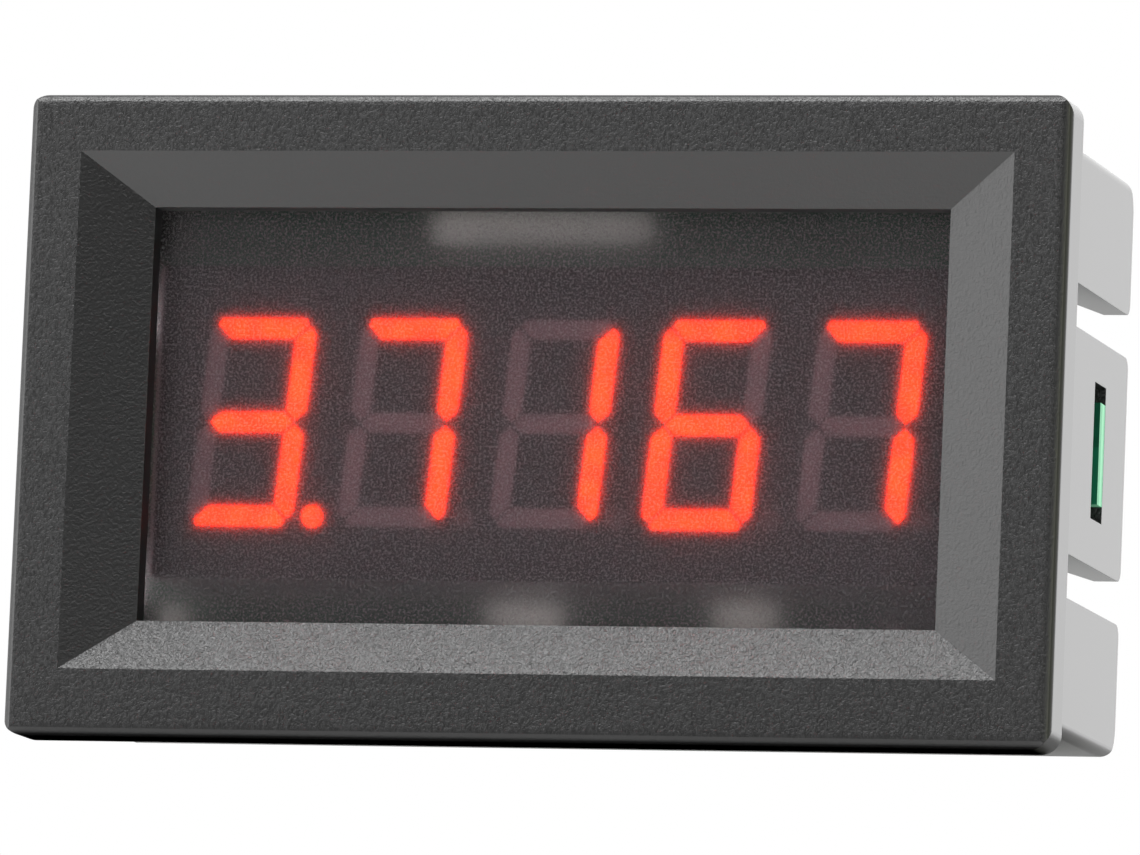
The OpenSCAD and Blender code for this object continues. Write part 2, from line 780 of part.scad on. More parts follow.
// The straps that wrap under the ends of the input capacitor
module capacitor_straps() {
    end = input_l / 2;
    color("silver") on_board(right_x, top_z) both_rows()
        translate([0, input_w * 0.38, 0]) rotate([90, 0, 0]) linear_extrude(input_w * 0.76)
            polygon([[end * 0.55, 0], [end + lead_t, 0], [end + lead_t, exit_height(input_t)],
                [end, exit_height(input_t)], [end, chip_stand], [end * 0.55, chip_stand]]);
}

// Chip parts: place across and up the board, turn and length
CAPACITORS = concat(
    [for (s = [-1, 1]) [s * (controller_l / 2 + beside), face_lift, 90, small_l]],
    [for (s = [-1, 1]) [right_x + s * (regulator_l / 2 + beside), regulator_z, 90, large_l]],
    [[left_x + converter_l / 2 + beside, 0, 90, large_l], [lower_x(-1), low_z, 90, small_l]]);
RESISTORS = concat(
    [for (i = [0 : 7]) [(i - 3.5) * resistor_pitch, top_z, 90, small_l]],
    [for (s = [-1, 1])
        [left_x - converter_l / 2 - beside, s * (small_l + end_gap) / 2, 90, small_l]],
    [for (i = [1 : 3]) [lower_x(i), low_z, 0, large_l]]);

module chip_bodies(parts, t) {
    for (p = parts) on_board(p[0], p[1], p[2])
        translate([-p[3] / 2 + chip_end, -p[3] * small_ratio / 2, 0])
            cube([p[3] - 2 * chip_end, p[3] * small_ratio, t]);
}

module end_caps(parts, t) {
    for (p = parts, s = [-1, 1]) on_board(p[0], p[1], p[2])
        translate([s * (p[3] - chip_end) / 2 - chip_end / 2, -p[3] * small_ratio / 2, 0])
            cube([chip_end, p[3] * small_ratio, t]);
}

module chip_capacitors() { color("#b59a72") chip_bodies(CAPACITORS, ceramic_t); }
module chip_resistors() { color("#1d1d20") chip_bodies(RESISTORS, resistor_t); }

module chip_ends() {
    color("#cfd1d4") {
        end_caps(CAPACITORS, ceramic_t);
        end_caps(RESISTORS, resistor_t);
    }
}

// ---------- wiring header ----------

module at_header_pins() {
    for (i = [0 : header_pins_n - 1])
        translate([header_x + (i - (header_pins_n - 1) / 2) * header_pitch, 0, -header_drop])
            children();
}

// A tray open to the back, with two keying slots in its upper wall
module header_shell() {
    key_z = header_floor + key_rise;
    color("#e9e6dc") on_board(header_x, -header_drop) difference() {
        translate([-header_w / 2, -header_d / 2, 0]) cube([header_w, header_d, header_rise]);
        translate([-header_w / 2 + header_wall, -header_d / 2 + header_wall, header_floor])
            cube([header_w - 2 * header_wall, header_d - 2 * header_wall, header_rise]);
        for (s = [-1, 1]) translate([s * header_pitch / 2 - key_w / 2, -header_d / 2 - slack, key_z])
            cube([key_w, header_wall + 2 * slack, header_rise]);
        for (i = [0 : header_pins_n - 1])
            translate([(i - (header_pins_n - 1) / 2) * header_pitch - header_pin / 2,
                -header_pin / 2, -slack])
                cube([header_pin, header_pin, header_floor + 2 * slack]);
    }
}

module header_post(y0, y1) {
    translate([-header_pin / 2, y0, -header_pin / 2]) cube([header_pin, y1 - y0, header_pin]);
}

module header_pins() {
    color("silver") at_header_pins()
        header_post(board_y - header_tail, board_back_y + header_pin_rise);
}

module header_solder() {
    color("#c9ccd0") at_header_pins() difference() {
        translate([0, board_y, 0]) rotate([90, 0, 0])
            solder_joint(header_pin * 0.4, header_hole_r, header_tail * 0.75);
        header_post(board_y - 2 * header_tail, board_back_y + slack);
    }
}

housing();
window_filter();
display_case();
lit_segments();
unlit_segments();
lit_point();
unlit_points();
chip_board();
light_chips();
display_resin();
display_pins();
circuit_board();
pin_solder();
microcontroller();
microcontroller_leads();
converter_chip();
converter_leads();
regulator();
regulator_leads();
reference_chip();
reference_leads();
guard_diode();
diode_leads();
input_capacitor();
capacitor_straps();
chip_capacitors();
chip_resistors();
chip_ends();
header_shell();
header_pins();
header_solder();
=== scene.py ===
"""Looks of the digital panel meter: materials, board details, light, floor and camera.

Everything is in metres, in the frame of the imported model: +X right, +Y back into the panel, +Z up.
"""

import math
import random

import bmesh
import bpy
from mathutils import Matrix, Vector


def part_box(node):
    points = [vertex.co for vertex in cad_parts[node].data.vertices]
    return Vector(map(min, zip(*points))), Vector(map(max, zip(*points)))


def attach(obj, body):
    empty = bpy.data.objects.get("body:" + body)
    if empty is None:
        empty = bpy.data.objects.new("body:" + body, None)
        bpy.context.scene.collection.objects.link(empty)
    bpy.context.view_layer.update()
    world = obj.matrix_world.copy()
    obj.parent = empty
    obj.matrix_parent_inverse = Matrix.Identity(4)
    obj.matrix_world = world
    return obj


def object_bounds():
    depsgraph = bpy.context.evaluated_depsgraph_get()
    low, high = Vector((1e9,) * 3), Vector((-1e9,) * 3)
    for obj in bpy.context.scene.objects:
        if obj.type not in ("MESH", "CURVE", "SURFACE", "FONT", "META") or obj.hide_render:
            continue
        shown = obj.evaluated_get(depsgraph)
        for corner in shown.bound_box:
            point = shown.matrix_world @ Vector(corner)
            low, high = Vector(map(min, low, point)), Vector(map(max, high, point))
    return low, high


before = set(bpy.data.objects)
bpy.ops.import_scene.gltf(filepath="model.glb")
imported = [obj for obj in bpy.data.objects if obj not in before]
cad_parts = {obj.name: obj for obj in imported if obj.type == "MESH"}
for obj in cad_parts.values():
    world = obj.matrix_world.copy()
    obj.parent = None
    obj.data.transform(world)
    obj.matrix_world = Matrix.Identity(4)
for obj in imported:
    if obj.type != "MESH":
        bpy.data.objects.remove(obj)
cad_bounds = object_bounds()

MM = 0.001
BODY = "root"
random.seed(7)

# ---------------------------------------------------------------- camera

AIM = Vector((1.63, -2.01, -0.42)) * MM
DISTANCE = 531.99 * MM
AZIMUTH = math.radians(15.221)
ELEVATION = math.radians(-7.189)
ROLL = math.radians(2.384)
LENS = 378.95  # on a sensor 36 mm wide


def make_camera():
    """A long lens, to the right of the meter and a little below its middle."""
    away = Vector((
        math.sin(AZIMUTH) * math.cos(ELEVATION),
        -math.cos(AZIMUTH) * math.cos(ELEVATION),
        math.sin(ELEVATION)))
    level_right = Vector((math.cos(AZIMUTH), math.sin(AZIMUTH), 0))
    level_up = away.cross(level_right)
    right = level_right * math.cos(ROLL) + level_up * math.sin(ROLL)
    up = away.cross(right)
    data = bpy.data.cameras.new("camera")
    data.lens = LENS
    data.sensor_width = 36
    data.clip_start = 0.01
    camera = bpy.data.objects.new("camera", data)
    axes = Matrix((right, up, away)).transposed().to_4x4()
    camera.matrix_world = Matrix.Translation(AIM + away * DISTANCE) @ axes
    bpy.context.scene.collection.objects.link(camera)
    bpy.context.scene.camera = camera


# ---------------------------------------------------------------- node trees

class Tree:
    """A short way to write node trees: add() makes a node, and inputs are values or sockets."""

    def __init__(self, name, holder=None):
        if holder is None:
            holder = bpy.data.materials.new(name)
        holder.use_nodes = True
        self.holder = holder
        self.nodes = holder.node_tree.nodes
        self.links = holder.node_tree.links
        self.nodes.clear()

    def add(self, kind, settings=None, **inputs):
        node = self.nodes.new(kind)
        for key, value in (settings or {}).items():
            setattr(node, key, value)
        for key, value in inputs.items():
            self.put(node, key.replace("_", " "), value)
        return node

    def put(self, node, key, value):
        socket = node.inputs[int(key)] if key.isdigit() else node.inputs[key]
        if isinstance(value, bpy.types.NodeSocket):
            self.links.new(value, socket)
        elif isinstance(value, (tuple, list)) and len(value) == 3 and len(socket.default_value) == 4:
            socket.default_value = (*value, 1)
        else:
            socket.default_value = value

    def math(self, operation, *values):
        node = self.add("ShaderNodeMath", {"operation": operation})
        for i, value in enumerate(values):
            self.put(node, str(i), value)
        return node.outputs[0]

    def step(self, value, low, high):
        """0 below low, 1 above high, smooth between them."""
        node = self.add("ShaderNodeMapRange", {"interpolation_type": "SMOOTHSTEP"})
        for key, v in (("Value", value), ("From Min", low), ("From Max", high)):
            self.put(node, key, v)
        return node.outputs[0]

    def ramp(self, value, low, high, out_low, out_high):
        node = self.add("ShaderNodeMapRange")
        for key, v in (("Value", value), ("From Min", low), ("From Max", high),
                       ("To Min", out_low), ("To Max", out_high)):
            self.put(node, key, v)
        return node.outputs[0]

    def mix(self, share, a, b):
        """Mixes two colours, or a colour and a socket."""
        node = self.add("ShaderNodeMix", {"data_type": "RGBA"})
        self.put(node, "0", share)
        for index, value in ((6, a), (7, b)):
            self.put(node, str(index), value)
        return node.outputs[2]

    def place(self):
        """The point being shaded, in the frame of the model."""
        return self.add("ShaderNodeTexCoord").outputs["Object"]

    def parts(self, vector):
        """X, Y and Z of a vector."""
        return self.add("ShaderNodeSeparateXYZ", None, Vector=vector).outputs

    def normal(self):
        """The face's own normal, as X, Y and Z."""
        return self.parts(self.add("ShaderNodeNewGeometry").outputs["True Normal"])

    def noise(self, vector, size, detail=2.0, roughness=0.5):
        """Soft noise with features of about the given size in metres."""
        node = self.add("ShaderNodeTexNoise", None, Vector=vector, Scale=1 / size, Detail=detail,
                        Roughness=roughness)
        return node.outputs["Fac"]

    def dust(self, vector, spacing, radius):
        """1 on a few small round specks, at most one in each cell of the given spacing."""
        node = self.add("ShaderNodeTexVoronoi", None, Vector=vector, Scale=1 / spacing)
        near = self.math("LESS_THAN", node.outputs["Distance"], radius / spacing)
        chosen = self.parts(node.outputs["Color"])[0]
        return self.math("MULTIPLY", near, self.math("GREATER_THAN", chosen, 0.5))

    def blend(self, share, first, second):
        """Mixes two shaders: none of the second at 0, all of it at 1."""
        node = self.add("ShaderNodeMixShader")
        self.put(node, "0", share)
        self.links.new(first.outputs[0], node.inputs[1])
        self.links.new(second.outputs[0], node.inputs[2])
        return node

    def bump(self, height, distance, strength):
        return self.add("ShaderNodeBump", None, Height=height, Distance=distance,
                        Strength=strength).outputs[0]

    def shader(self, **inputs):
        return self.add("ShaderNodeBsdfPrincipled", None, **inputs)

    def finish(self, shader):
        output = self.add("ShaderNodeOutputMaterial")
        socket = shader.outputs[0] if isinstance(shader, bpy.types.Node) else shader
        self.links.new(socket, output.inputs["Surface"])
        return self.holder


# ---------------------------------------------------------------- materials

FACET_DEPTH = 1.6 * MM  # the recess's facets are nearer to the front than this
COARSE_GRAIN = 0.16 * MM
GRAIN_DEPTH = 0.12 * MM
FINE_GRAIN = 0.11 * MM
DUST_SPACING = 4.5 * MM
DUST_RADIUS = 0.028 * MM
EDGE_SOFTENING = 0.05 * MM
FACE_BORDER = 0.16 * MM  # bare plastic at each end of the display's printed face


def housing_plastic():
    """Black moulded plastic: pebbled on the flat rim, finely grained and glossier on the facets."""
    t = Tree("housing_plastic")
    place = t.place()
    y = t.parts(place)[1]
    nx, ny, nz = t.normal()
    front = t.math("LESS_THAN", y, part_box("housing")[0][1] + FACET_DEPTH)
    forward = t.math("MULTIPLY", ny, -1.0)
    rim = t.step(forward, 0.93, 0.97)
    facet = t.math("MULTIPLY", front, t.math("SUBTRACT", t.step(forward, 0.6, 0.7), rim))
    pebbles = t.noise(place, COARSE_GRAIN, 2.0, 0.65)
    fine = t.noise(place, FINE_GRAIN, 1.5, 0.6)
    depth = t.math("MAXIMUM", rim, t.math("MULTIPLY", facet, t.ramp(nz, 0.2, 0.5, 0.2, 0.6)))
    grain = t.math("MULTIPLY", t.math("ADD", pebbles, t.math("MULTIPLY", fine, 0.3)), depth)
    peaks = t.ramp(grain, 0.55, 0.78, 0, 1)
    colour = t.mix(t.math("MULTIPLY", rim, peaks), (0.009, 0.009, 0.0095), (0.033, 0.033, 0.034))
    roughness = t.ramp(facet, 0, 1, t.ramp(rim, 0, 1, 0.34, 0.44), 0.3)
    dust = t.dust(place, DUST_SPACING, DUST_RADIUS)
    rounded = t.add("ShaderNodeBevel", {"samples": 4}, Radius=EDGE_SOFTENING).outputs[0]
    bumped = t.add("ShaderNodeBump", None, Height=grain, Distance=GRAIN_DEPTH, Strength=1.0,
                   Normal=rounded)
    flange_side = t.math("MULTIPLY", t.math("LESS_THAN", y, 0.0), t.math("GREATER_THAN", nx, 0.8))
    gloss = t.math("SUBTRACT", t.ramp(facet, 0, 1, 0.5, 0.9), t.math("MULTIPLY", flange_side, 0.1))
    return t.finish(t.shader(
        Base_Color=t.mix(dust, colour, (0.6, 0.6, 0.58)), Roughness=roughness, IOR=1.53,
        Specular_IOR_Level=gloss, Normal=bumped.outputs[0]))


def smoked_filter():
    """Smoked acrylic with a fine anti-glare grain: it softens what is behind it and glitters a little."""
    t = Tree("smoked_filter")
    grain = t.noise(t.place(), FINE_GRAIN, 1.0, 0.6)
    speckle = t.ramp(grain, 0.46, 0.66, 0.0, 0.08)
    clear = t.shader(Base_Color=(0.6, 0.53, 0.56), Transmission_Weight=1.0, IOR=1.49,
                     Roughness=t.ramp(grain, 0.3, 0.7, 0.14, 0.26), Normal=t.bump(grain, 0.008 * MM, 0.6))
    wide = t.shader(Base_Color=(0.66, 0.5, 0.55), Transmission_Weight=1.0, IOR=1.49, Roughness=0.55)
    haze = t.add("ShaderNodeBsdfDiffuse", None, Color=(0.62, 0.63, 0.66))
    return t.finish(t.blend(speckle, t.blend(0.22, clear, wide), haze))


def display_plastic():
    """Light grey case whose face is printed black up to a hair's breadth from its two ends."""
    t = Tree("display_plastic")
    low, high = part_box("display_case")
    place = t.place()
    x, y, _ = t.parts(place)
    edge = t.math("SUBTRACT", (high[0] - low[0]) / 2 - FACE_BORDER, t.math("ABSOLUTE", x))
    inside = t.step(edge, 0, 0.03 * MM)
    front = t.math("LESS_THAN", y, low[1] + 0.01 * MM)
    printed = t.math("MULTIPLY", inside, front)
    speckle = t.noise(place, COARSE_GRAIN, 2.0, 0.7)
    ink = t.mix(t.ramp(speckle, 0.35, 0.65, 0, 1), (0.014, 0.014, 0.017), (0.038, 0.037, 0.043))
    case = t.mix(t.ramp(t.noise(place, 1.5 * MM), 0.3, 0.7, 0, 1), (0.72, 0.71, 0.68),
                 (0.8, 0.79, 0.76))
    return t.finish(t.shader(
        Base_Color=t.mix(printed, case, ink), Roughness=t.ramp(printed, 0, 1, 0.42, 0.62),
        Normal=t.bump(speckle, 0.01 * MM, 0.5)))


def lit_resin():
    """Glowing resin, brightest in soft patches along a segment."""
    t = Tree("lit_resin")
    cloud = t.noise(t.place(), 0.9 * MM, 1.0)
    glow = t.mix(t.ramp(cloud, 0.35, 0.65, 0, 1), (1.0, 0.02, 0.0), (1.0, 0.03, 0.0))
    return t.finish(t.shader(
        Base_Color=(0.3, 0.03, 0.02), Roughness=0.4, Emission_Color=glow,
        Emission_Strength=t.ramp(cloud, 0.3, 0.7, 6.5, 8)))


def unlit_resin(name, dark, light):
    """Dark diffusing resin, a little warmer and lighter than the printed face."""
    t = Tree(name)
    cloud = t.ramp(t.noise(t.place(), 0.25 * MM, 2.0), 0.3, 0.7, 0, 1)
    return t.finish(t.shader(Base_Color=t.mix(cloud, dark, light), Roughness=0.45))


def plain(name, dark, light, size, roughness=(0.4, 0.5), bump=0.01, bump_size=None, **inputs):
    """A surface whose colour and roughness wander between two values, with a fine grain."""
    t = Tree(name)
    place = t.place()
    cloud = t.noise(place, size, 3.0)
    grain = t.noise(place, bump_size or size / 4, 2.0)
    return t.finish(t.shader(
        Base_Color=t.mix(t.ramp(cloud, 0.3, 0.7, 0, 1), dark, light),
        Roughness=t.ramp(grain, 0.3, 0.7, *roughness),
        Normal=t.bump(grain, bump * MM, 0.6), **inputs))


# Stretches of the board without copper, where light from behind comes through: x0, x1, z0, z1
BARE_LAMINATE = [tuple(v * MM for v in stretch) for stretch in (
    (-8.8, 2.6, 9.2, 11.2), (-21, -18.6, -11, -7), (-5.6, -0.8, -8.8, -6.8), (5, 9.2, -8.8, -6.6),
    (13.2, 17.4, -9, -6.4))]


def board_laminate():
    """Green solder mask over copper on both faces, and a paler cut edge with the laminate's layers."""
    t = Tree("board_laminate")
    place = t.place()
    x, _, z = t.parts(place)
    face = t.step(t.math("ABSOLUTE", t.normal()[1]), 0.5, 0.9)
    layers = t.add("ShaderNodeTexWave", {"bands_direction": "Y"}, Vector=place, Scale=1 / (2.4 * MM),
                   Distortion=1.2, Detail=2.0).outputs["Fac"]
    cut = t.mix(layers, (0.16, 0.6, 0.33), (0.33, 0.84, 0.52))
    weave = t.noise(place, 0.5 * MM, 2.0)
    pour = t.add("ShaderNodeTexVoronoi", {"distance": "CHEBYCHEV", "feature": "F1"}, Vector=place,
                 Scale=1 / (5 * MM), Randomness=0.8).outputs["Distance"]
    copper = t.step(t.math("PINGPONG", pour, 0.2), 0.02, 0.03)
    bare = t.mix(t.ramp(weave, 0.35, 0.65, 0, 1), (0.007, 0.12, 0.06), (0.01, 0.16, 0.08))
    mask = t.mix(copper, bare, (0.012, 0.22, 0.11))
    opaque = t.shader(Base_Color=t.mix(face, cut, mask), Roughness=t.ramp(face, 0, 1, 0.6, 0.28),
                      Normal=t.bump(weave, 0.012 * MM, 0.5))
    light_through = t.add("ShaderNodeBsdfTranslucent", None, Color=(0.94, 0.96, 0.92))
    share = 0.03
    for x0, x1, z0, z1 in BARE_LAMINATE:
        across = t.math("MULTIPLY", t.step(x, x0, x0 + 1 * MM), t.step(x, x1, x1 - 1 * MM))
        upward = t.math("MULTIPLY", t.step(z, z0, z0 + 0.4 * MM), t.step(z, z1, z1 - 0.4 * MM))
        share = t.math("MAXIMUM", share, t.math("MULTIPLY", t.math("MULTIPLY", across, upward), 0.95))
    return t.finish(t.blend(share, opaque, light_through))


def metal(name, colour, roughness):
    """Bare metal, a little duller in soft patches."""
    t = Tree(name)
    cloud = t.noise(t.place(), 0.3 * MM, 3.0)
    dull = tuple(c * 0.8 for c in colour)
    return t.finish(t.shader(
        Base_Color=t.mix(t.ramp(cloud, 0.35, 0.65, 0, 1), dull, colour), Metallic=1.0,
        Roughness=t.ramp(cloud, 0.3, 0.7, roughness, roughness + 0.12),
        Normal=t.bump(cloud, 0.01 * MM, 0.5)))


def resistor_body():
    """Black glass on top of a white ceramic block."""
    t = Tree("resistor_body")
    top = t.step(t.normal()[1], 0.5, 0.9)
    grain = t.noise(t.place(), 0.1 * MM, 2.0)
    return t.finish(t.shader(
        Base_Color=t.mix(top, (0.72, 0.71, 0.68), (0.012, 0.012, 0.014)),
        Roughness=t.ramp(grain, 0.3, 0.7, 0.25, 0.4), Normal=t.bump(grain, 0.004 * MM, 0.5)))


def nylon():
    """White nylon, which lets some light through."""
    t = Tree("nylon")
    place = t.place()
    cloud = t.ramp(t.noise(place, 1.5 * MM, 3.0), 0.3, 0.7, 0, 1)
    grain = t.noise(place, 0.2 * MM, 2.0)
    solid = t.shader(Base_Color=t.mix(cloud, (0.74, 0.71, 0.62), (0.82, 0.79, 0.7)),
                     Roughness=t.ramp(grain, 0.3, 0.7, 0.35, 0.5), Normal=t.bump(grain, 0.01 * MM, 0.6))
    through = t.add("ShaderNodeBsdfTranslucent", None, Color=(0.9, 0.87, 0.8))
    return t.finish(t.blend(0.35, solid, through))


def assign_materials():
    """One material for each node. What isn't named here is tinned metal."""
    chip = plain("chip_epoxy", (0.012, 0.012, 0.013), (0.024, 0.024, 0.026), 0.3 * MM, (0.45, 0.6),
                 0.012, 0.06 * MM)
    tinned = metal("tinned_leads", (0.72, 0.72, 0.7), 0.25)
    chosen = {
        "housing": housing_plastic(),
        "window_filter": smoked_filter(),
        "display_case": display_plastic(),
        "lit_segments": lit_resin(),
        "unlit_segments": unlit_resin("unlit_resin", (0.28, 0.21, 0.22), (0.38, 0.28, 0.29)),
        # The decimal points get a darker copy of the unlit segments' resin: painted shade that makes them
        # look fainter than the segments.
        "unlit_points": unlit_resin("point_resin_painted_shade", (0.12, 0.09, 0.09), (0.18, 0.13, 0.13)),
        "light_chips": metal("led_chips", (0.8, 0.66, 0.3), 0.3),
        "chip_board": plain("display_laminate", (0.5, 0.46, 0.3), (0.62, 0.58, 0.4), 0.6 * MM),
        "display_resin": plain("potting", (0.55, 0.51, 0.4), (0.66, 0.62, 0.5), 2 * MM, (0.15, 0.3)),
        "circuit_board": board_laminate(),
        "microcontroller": chip,
        "input_capacitor": plain("tantalum", (0.62, 0.34, 0.04), (0.75, 0.46, 0.08), 0.5 * MM),
        "chip_capacitors": plain("ceramic", (0.33, 0.22, 0.11), (0.45, 0.32, 0.18), 0.3 * MM),
        "chip_resistors": resistor_body(),
        "header_shell": nylon(),
        "pin_solder": metal("solder", (0.78, 0.79, 0.8), 0.16),
    }
    same = {
        "lit_point": "lit_segments", "converter_chip": "microcontroller", "regulator": "microcontroller",
        "reference_chip": "microcontroller", "guard_diode": "microcontroller", "header_solder": "pin_solder",
    }
    for node, other in same.items():
        chosen[node] = chosen[other]
    for name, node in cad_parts.items():
        node.data.materials.clear()
        node.data.materials.append(chosen.get(name, tinned))
        for polygon in node.data.polygons:
            polygon.material_index = 0


# ---------------------------------------------------------------- board details

BOARD_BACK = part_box("circuit_board")[1][1]
COPPER = 0.035 * MM  # how far pads stand above the board
TRACK_WIDTH = 0.2 * MM
SUPPLY_WIDTH = 0.6 * MM
VIA_HOLE = 0.15 * MM
VIA_RING = 0.3 * MM
VIA_SPACING = 0.75 * MM
EDGE_MARGIN = 0.6 * MM
BODY_MARGIN = 0.25 * MM
PAD_BESIDE = 0.04 * MM
PAD_UNDER = 0.3 * MM
PAD_BEYOND = 0.06 * MM
INK_WIDTH = 0.12 * MM


def islands(name):
    """(lowest corner, highest corner) of each separate solid in a node."""
    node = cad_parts[name]
    mesh = bmesh.new()
    mesh.from_mesh(node.data)
    bmesh.ops.remove_doubles(mesh, verts=mesh.verts, dist=0.0005 * MM)
    mesh.verts.index_update()
    seen, boxes = set(), []
    for first in mesh.verts:
        if first in seen:
            continue
        seen.add(first)
        waiting, corners = [first], []
        while waiting:
            vertex = waiting.pop()
            corners.append(node.matrix_world @ vertex.co)
            for edge in vertex.link_edges:
                other = edge.other_vert(vertex)
                if other not in seen:
                    seen.add(other)
                    waiting.append(other)
        boxes.append((Vector(map(min, zip(*corners))), Vector(map(max, zip(*corners)))))
    mesh.free()
    return boxes


class Piece:
    """Collects closed shapes on the back of the board, then makes one object of them."""

    def __init__(self):
        self.corners = []
        self.faces = []

    def loft(self, first, last):
        """Joins two outlines of as many corners each into a closed shape."""
        n, base = len(first), len(self.corners)
        self.corners += [*first, *last]
        self.faces += [tuple(base + i for i in range(n)), tuple(base + n + i for i in range(n))]
        self.faces += [(base + i, base + (i + 1) % n, base + n + (i + 1) % n, base + n + i)
                       for i in range(n)]

    def prism(self, outline, y0, y1):
        """An outline of (x, z) points, from one depth to another."""
        self.loft([Vector((x, y0, z)) for x, z in outline], [Vector((x, y1, z)) for x, z in outline])

    def rectangle(self, low, high, y0, y1):
        self.prism([(low[0], low[1]), (high[0], low[1]), (high[0], high[1]), (low[0], high[1])], y0, y1)

    def disc(self, centre, radius, y0, y1, sides=16):
        turns = [2 * math.pi * (i + 0.5) / sides for i in range(sides)]
        self.prism([(centre[0] + radius * math.cos(a), centre[1] + radius * math.sin(a)) for a in turns],
                   y0, y1)

    def ring(self, centre, inner, outer, y0, y1, sides=20):
        """A flat ring, made of one wedge for each side."""
        for i in range(sides):
            a, b = (2 * math.pi * k / sides for k in (i, i + 1))
            self.prism([(centre[0] + r * math.cos(turn), centre[1] + r * math.sin(turn))
                        for r, turn in ((inner, a), (outer, a), (outer, b), (inner, b))], y0, y1)

    def track(self, points, width, y0, y1):
        """A strip of even width along (x, z) points, with round ends and bends."""
        points = [p for i, p in enumerate(points) if i == 0 or math.dist(p, points[i - 1]) > width / 10]
        for (x0, z0), (x1, z1) in zip(points, points[1:]):
            length = math.hypot(x1 - x0, z1 - z0)
            sx, sz = (z0 - z1) / length * width / 2, (x1 - x0) / length * width / 2
            self.prism([(x0 + sx, z0 + sz), (x1 + sx, z1 + sz), (x1 - sx, z1 - sz), (x0 - sx, z0 - sz)],
                       y0, y1)
        for point in points:
            self.disc(point, width / 2, y0, y1, 12)

    def fillet(self, start, outward, width, length, height):
        """Solder that climbs a lead's end in a hollow curve. start is on the board, under the end."""
        side = Vector((outward.z, 0, -outward.x)) * width / 2
        curve = [(0, 0), (0, 1), (0.2, 0.55), (0.5, 0.22), (1, 0.04), (1, 0)]
        profile = [start + outward * length * u + Vector((0, height * v, 0)) for u, v in curve]
        self.loft([point - side for point in profile], [point + side for point in profile])

    def make(self, name, material, slot):
        """Turns what was collected into one object that rides on the part."""
        mesh = bpy.data.meshes.new(name)
        mesh.from_pydata([tuple(c) for c in self.corners], [], self.faces)
        clean = bmesh.new()
        clean.from_mesh(mesh)
        bmesh.ops.recalc_face_normals(clean, faces=clean.faces)
        clean.to_mesh(mesh)
        clean.free()
        mesh.materials.append(material)
        piece = bpy.data.objects.new(name, mesh)
        bpy.context.scene.collection.objects.link(piece)
        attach(piece, BODY)


LEADS = {
    "microcontroller_leads": "microcontroller", "converter_leads": "converter_chip",
    "regulator_leads": "regulator", "reference_leads": "reference_chip",
    "diode_leads": "guard_diode", "capacitor_straps": "input_capacitor",
}


def middle(box):
    """The middle of a box."""
    return (box[0] + box[1]) / 2


def leads_and_directions():
    """Each lead or metal end with the direction, in X or Z, in which it leaves its body."""
    found = []
    for leads, body in LEADS.items():
        centre = middle(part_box(body))
        half = (Vector(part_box(body)[1]) - Vector(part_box(body)[0])) / 2
        for lead in islands(leads):
            away = middle(lead) - centre
            along_x = abs(away.x) - half.x > abs(away.z) - half.z
            found.append((lead, outward_of(away, along_x)))
    bodies = [middle(b) for node in ("chip_capacitors", "chip_resistors") for b in islands(node)]
    for end in islands("chip_ends"):
        away = min((middle(end) - b for b in bodies), key=lambda v: math.hypot(v.x, v.z))
        found.append((end, outward_of(away, abs(away.x) > abs(away.z))))
    return found


def outward_of(away, along_x):
    """A step of 1 along X or Z, to the side that away points to."""
    if along_x:
        return Vector((math.copysign(1, away.x), 0, 0))
    return Vector((0, 0, math.copysign(1, away.z)))


def end_of(lead, outward):
    """The point on the board under a lead's outer end, and the lead's width."""
    low, high = lead
    point = middle(lead)
    along_x = outward.x != 0
    point.y = BOARD_BACK
    if along_x:
        point.x = high.x if outward.x > 0 else low.x
    else:
        point.z = high.z if outward.z > 0 else low.z
    width = (high.z - low.z) if along_x else (high.x - low.x)
    return point, width


def clear_of(boxes, x, z, margin):
    """Whether a point on the board is outside every box by a margin."""
    return all(x < low.x - margin or x > high.x + margin or z < low.z - margin or z > high.z + margin
               for low, high in boxes)


